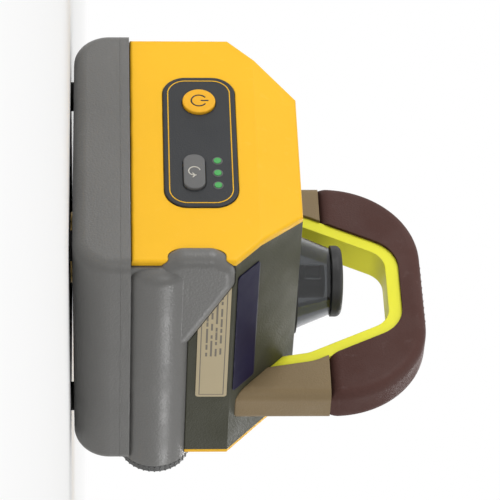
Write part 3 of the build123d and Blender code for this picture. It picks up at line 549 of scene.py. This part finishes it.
# closed beads with rounded corners: the panel's line, the base's parting line, the rotor's window
panelLine = {"inset": 0.0032, "corner": 0.0108, "bead": 0.00042, "sunk": 0.5}
baseSeam = {"width": 0.194, "depth": 0.184, "height": 0.0305, "corner": 0.008, "bead": 0.0005}
rotorFrame = {"margin": 0.0003, "corner": 0.0012, "bead": 0.0005}
cornerPoints = 10


def loopTree():
    tree, groupIn, groupOut = startTree("loopBead", floats=["Width", "Height", "Corner", "Bead Radius"])
    loop = tree.nodes.new("GeometryNodeCurvePrimitiveQuadrilateral")
    rounded = tree.nodes.new("GeometryNodeFilletCurve")
    rounded.mode = "POLY"  # brings the Count socket
    rounded.inputs["Count"].default_value = cornerPoints
    feed(tree, groupIn, loop, {"Width": "Width", "Height": "Height"})
    feed(tree, groupIn, rounded, {"Radius": "Corner"})
    tree.links.new(loop.outputs["Curve"], rounded.inputs["Curve"])
    return endTree(tree, beadAlong(tree, groupIn, rounded.outputs["Curve"], sides=8), groupIn, groupOut)


def roundedLoop(name, width, height, look, slot, place):
    return meshFrom(roundedTree, name, {
        "Width": width, "Height": height, "Corner": look["corner"], "Bead Radius": look["bead"],
        "Material": finishes[slot]}, place)


roundedTree = loopTree()
center, low, high = middleOf("control_panel")
panelFront = low.y
face = onFront(center.x, panelFront + panelLine["bead"] * panelLine["sunk"], center.z)
lineWidth = high.x - low.x - 2 * panelLine["inset"]
lineHeight = high.z - low.z - 2 * panelLine["inset"]
line = roundedLoop("panel_line", lineWidth, lineHeight, panelLine, "cover_yellow", face)
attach(line, "housing")
level = Matrix.Translation((0, 0, baseSeam["height"]))
seamWidth = baseSeam["width"] - baseSeam["bead"]
seamDepth = baseSeam["depth"] - baseSeam["bead"]
seam = roundedLoop("base_seam", seamWidth, seamDepth, baseSeam, "housing_grey", level)
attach(seam, "housing")
print("panel line and base seam made")

# the bright frame round the prism's window shows through the smoked lantern
prism, prismLow, prismHigh = middleOf("beam_prism")
center, low, high = middleOf("rotor_head")
rotorRadius = (high.x - low.x) / 2
windowHalf = (prismHigh.x - prismLow.x) / 2 + rotorFrame["margin"]
windowHeight = prismHigh.z - prismLow.z + rotorFrame["margin"] * 2
face = onFront(center.x, center.y - math.sqrt(rotorRadius ** 2 - windowHalf ** 2), prism.z)
windowFrame = roundedLoop("rotor_window_frame", windowHalf * 2, windowHeight, rotorFrame, "steel", face)
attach(windowFrame, "rotor")
print("rotor window frame made")

# rings in a row round the lamps, and rings round one centre on the lantern's roof
lampBezel = {"lamps": 3, "gap": 0.0005, "bead": 0.0005, "sunk": 0.2}
roofRing = {"rings": 2, "first": 0.012, "growth": 0.004, "bead": 0.0007, "sunk": 0.5}


def ringTree():
    tree, groupIn, groupOut = startTree(
        "ringRow", ["Rings"], ["Pitch", "First Radius", "Growth", "Bead Radius"])
    ring = nodeWith(tree, "GeometryNodeCurvePrimitiveCircle", Resolution=64, Radius=1.0)
    place = placeOn(tree, spacedRow(tree, groupIn, "Rings"), ring.outputs["Curve"])
    number = tree.nodes.new("GeometryNodeInputIndex").outputs["Index"]
    larger = mathOf(tree, "MULTIPLY", number, groupIn.outputs["Growth"])
    radius = mathOf(tree, "ADD", larger, groupIn.outputs["First Radius"])
    tree.links.new(radius, place.inputs["Scale"])
    realize = tree.nodes.new("GeometryNodeRealizeInstances")
    tree.links.new(place.outputs["Instances"], realize.inputs["Geometry"])
    even = nodeWith(tree, "GeometryNodeSetCurveRadius", Radius=1.0)  # or the bead grows with its ring
    tree.links.new(realize.outputs["Geometry"], even.inputs["Curve"])
    return endTree(tree, beadAlong(tree, groupIn, even.outputs["Curve"], sides=8), groupIn, groupOut)


rowTree = ringTree()
center, low, high = middleOf("status_lamps")
lampRadius = (high.z - low.z) / 2
lampPitch = (high.x - low.x - 2 * lampRadius) / (lampBezel["lamps"] - 1)
bezels = meshFrom(rowTree, "lamp_bezels", {
    "Rings": lampBezel["lamps"], "Pitch": lampPitch, "First Radius": lampRadius + lampBezel["gap"],
    "Growth": 0.0, "Bead Radius": lampBezel["bead"], "Material": finishes["button_grey"]},
    onFront(low.x + lampRadius, panelFront + lampBezel["bead"] * lampBezel["sunk"], center.z))
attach(bezels, "housing")
center, low, high = middleOf("lantern_roof")
rings = meshFrom(rowTree, "roof_rings", {
    "Rings": roofRing["rings"], "Pitch": 0.0, "First Radius": roofRing["first"],
    "Growth": roofRing["growth"], "Bead Radius": roofRing["bead"], "Material": finishes["roof_black"]},
    Matrix.Translation((center.x, center.y, high.z - roofRing["bead"] * roofRing["sunk"])))
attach(rings, "housing")
print("lamp bezels and roof rings made")

# soft ribs across the crown of the grip
gripRibs = {"ribs": 9, "pitch": 0.0056, "radius": 0.0011, "length": 0.0105, "proud": 0.0005}


def ribTree():
    tree, groupIn, groupOut = startTree("gripRibRow", ["Ribs"], ["Pitch", "Bead Radius", "Half Length"])
    stroke = tree.nodes.new("GeometryNodeCurvePrimitiveLine")
    for socket, way in (("Start", -1.0), ("End", 1.0)):
        end = tree.nodes.new("ShaderNodeCombineXYZ")
        tree.links.new(mathOf(tree, "MULTIPLY", groupIn.outputs["Half Length"], way), end.inputs["Y"])
        tree.links.new(end.outputs["Vector"], stroke.inputs[socket])
    rib = beadAlong(tree, groupIn, stroke.outputs["Curve"], sides=12)
    place = placeOn(tree, spacedRow(tree, groupIn, "Ribs"), rib)
    return endTree(tree, place.outputs["Instances"], groupIn, groupOut)


center, low, high = middleOf("handle_grip")
firstRib = center.x - gripRibs["pitch"] * (gripRibs["ribs"] - 1) / 2
ribs = meshFrom(ribTree(), "grip_ribs", {
    "Ribs": gripRibs["ribs"], "Pitch": gripRibs["pitch"], "Bead Radius": gripRibs["radius"],
    "Half Length": gripRibs["length"] / 2, "Material": finishes["grip_rubber"]},
    Matrix.Translation((firstRib, center.y, high.z + gripRibs["proud"] - gripRibs["radius"])))
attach(ribs, "housing")
print("grip ribs made")

# thread ridge inside the tripod insert
threadRidge = {"turns": 10.0, "pitch": 0.00231, "from": 0.0018, "radius": 0.0069, "ridge": 0.0006}


def threadTree():
    tree, groupIn, groupOut = startTree("threadRidge", floats=["Turns", "Height", "Radius", "Bead Radius"])
    spiral = nodeWith(tree, "GeometryNodeCurveSpiral", Resolution=36)
    feed(tree, groupIn, spiral, {
        "Rotations": "Turns", "Height": "Height", "Start Radius": "Radius", "End Radius": "Radius"})
    return endTree(tree, beadAlong(tree, groupIn, spiral.outputs["Curve"], sides=6), groupIn, groupOut)


ridge = meshFrom(threadTree(), "thread_ridge", {
    "Turns": threadRidge["turns"], "Height": threadRidge["turns"] * threadRidge["pitch"],
    "Radius": threadRidge["radius"], "Bead Radius": threadRidge["ridge"],
    "Material": finishes["insert_brass"]}, Matrix.Translation((0, 0, threadRidge["from"])))
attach(ridge, "housing")
print("thread ridge made")

# studio: a pale floor that fades into a white background, and soft lamps
studio = {"floorSize": 60.0, "floorColor": (0.93, 0.93, 0.925), "floorShade": (0.99, 1.0), "speckle": 0.05,
          "speckleDetail": 3.0, "floorRough": 0.9, "floorSpecular": 0.1, "fade": (0.15, 1.6),
          "worldLight": 0.36}
lamps = {
    "keyLamp": {"place": (-1.0, -2.2, 1.0), "power": 32.0, "size": 1.2},
    "fillLamp": {"place": (2.2, -1.3, 0.7), "power": 10.0, "size": 0.6},
    "rimLamp": {"place": (-0.8, 2.2, 1.8), "power": 18.0, "size": 0.8},
    "edgeLamp": {"place": (1.7, 2.1, 0.9), "power": 12.0, "size": 0.5},
    "topLamp": {"place": (0.3, 0.4, 2.6), "power": 16.0, "size": 1.6},
}
white = (1, 1, 1, 1)


def showsBackground(tree):
    # rays that show the background: to the camera, off gloss and through glass
    paths = tree.nodes.new("ShaderNodeLightPath")
    seen = mathOf(tree, "MAXIMUM", paths.outputs["Is Camera Ray"], paths.outputs["Is Glossy Ray"])
    return mathOf(tree, "MAXIMUM", seen, paths.outputs["Is Transmission Ray"])


def blendSurface(tree, factor, first, second, output):
    blend = tree.nodes.new("ShaderNodeMixShader")
    for socket, value in zip(blend.inputs, (factor, first.outputs[0], second.outputs[0])):
        tree.links.new(value, socket)
    tree.links.new(blend.outputs[0], tree.nodes[output].inputs["Surface"])


floorMesh = bpy.data.meshes.new("floor")
half = studio["floorSize"] / 2
corners = [(-half, -half, 0), (half, -half, 0), (half, half, 0), (-half, half, 0)]
floorMesh.from_pydata(corners, [], [(0, 1, 2, 3)])
floor = bpy.data.objects.new("floor", floorMesh)
bpy.context.scene.collection.objects.link(floor)
floorMat, tree, shader, coords = startFinish("floorPale")
shader.inputs["Roughness"].default_value = studio["floorRough"]
shader.inputs["Specular IOR Level"].default_value = studio["floorSpecular"]
speckle = noiseOf(tree, coords, studio["speckle"], studio["speckleDetail"])
pale = mottled(tree, speckle, studio["floorColor"], studio["floorShade"])
tree.links.new(pale, shader.inputs["Base Color"])
reach = tree.nodes.new("ShaderNodeVectorMath")
reach.operation = "LENGTH"
tree.links.new(coords, reach.inputs[0])
far = remap(tree, reach.outputs["Value"], studio["fade"], unit)
glow = nodeWith(tree, "ShaderNodeEmission", Color=white)
blendSurface(tree, mathOf(tree, "MULTIPLY", far, showsBackground(tree)), shader, glow, "Material Output")
floorMesh.materials.append(floorMat)

world = bpy.data.worlds.new("studioWorld")
bpy.context.scene.world = world
world.use_nodes = True
tree = world.node_tree
ambient = nodeWith(tree, "ShaderNodeBackground", Color=white, Strength=studio["worldLight"])
backdrop = nodeWith(tree, "ShaderNodeBackground", Color=white, Strength=1.0)
blendSurface(tree, showsBackground(tree), ambient, backdrop, "World Output")

middle = (cadLow + cadHigh) / 2
for name, lamp in lamps.items():
    data = bpy.data.lights.new(name, "AREA")
    data.energy = lamp["power"]
    data.size = lamp["size"]
    soft = bpy.data.objects.new(name, data)
    soft.location = lamp["place"]
    soft.rotation_mode = "QUATERNION"
    soft.rotation_quaternion = (middle - Vector(lamp["place"])).to_track_quat("-Z", "Y")
    bpy.context.scene.collection.objects.link(soft)

# the photographed view: the level lies with its top to the right of the picture
photoView = {"azimuth": 42.0, "elevation": -3.0, "lens": 200.0, "picture": 0.312, "clipEnd": 100.0}
turn, rise = math.radians(photoView["azimuth"]), math.radians(photoView["elevation"])
across = Vector((math.cos(turn), math.sin(turn), 0))
back = Vector((math.sin(turn) * math.cos(rise), -math.cos(turn) * math.cos(rise), math.sin(rise)))
up = back.cross(across)
camData = bpy.data.cameras.new("photoCamera")
camData.lens = photoView["lens"]
camData.clip_end = photoView["clipEnd"]
cam = bpy.data.objects.new("photoCamera", camData)
bpy.context.scene.collection.objects.link(cam)
distance = photoView["picture"] * photoView["lens"] / camData.sensor_width
axes = Matrix((up, -across, back)).transposed()  # picture right is the level's up, picture up is its left
cam.matrix_world = Matrix.Translation(middle + back * distance) @ axes.to_4x4()
bpy.context.scene.camera = cam
bpy.context.scene.view_settings.view_transform = "Standard"
print("studio and camera set")
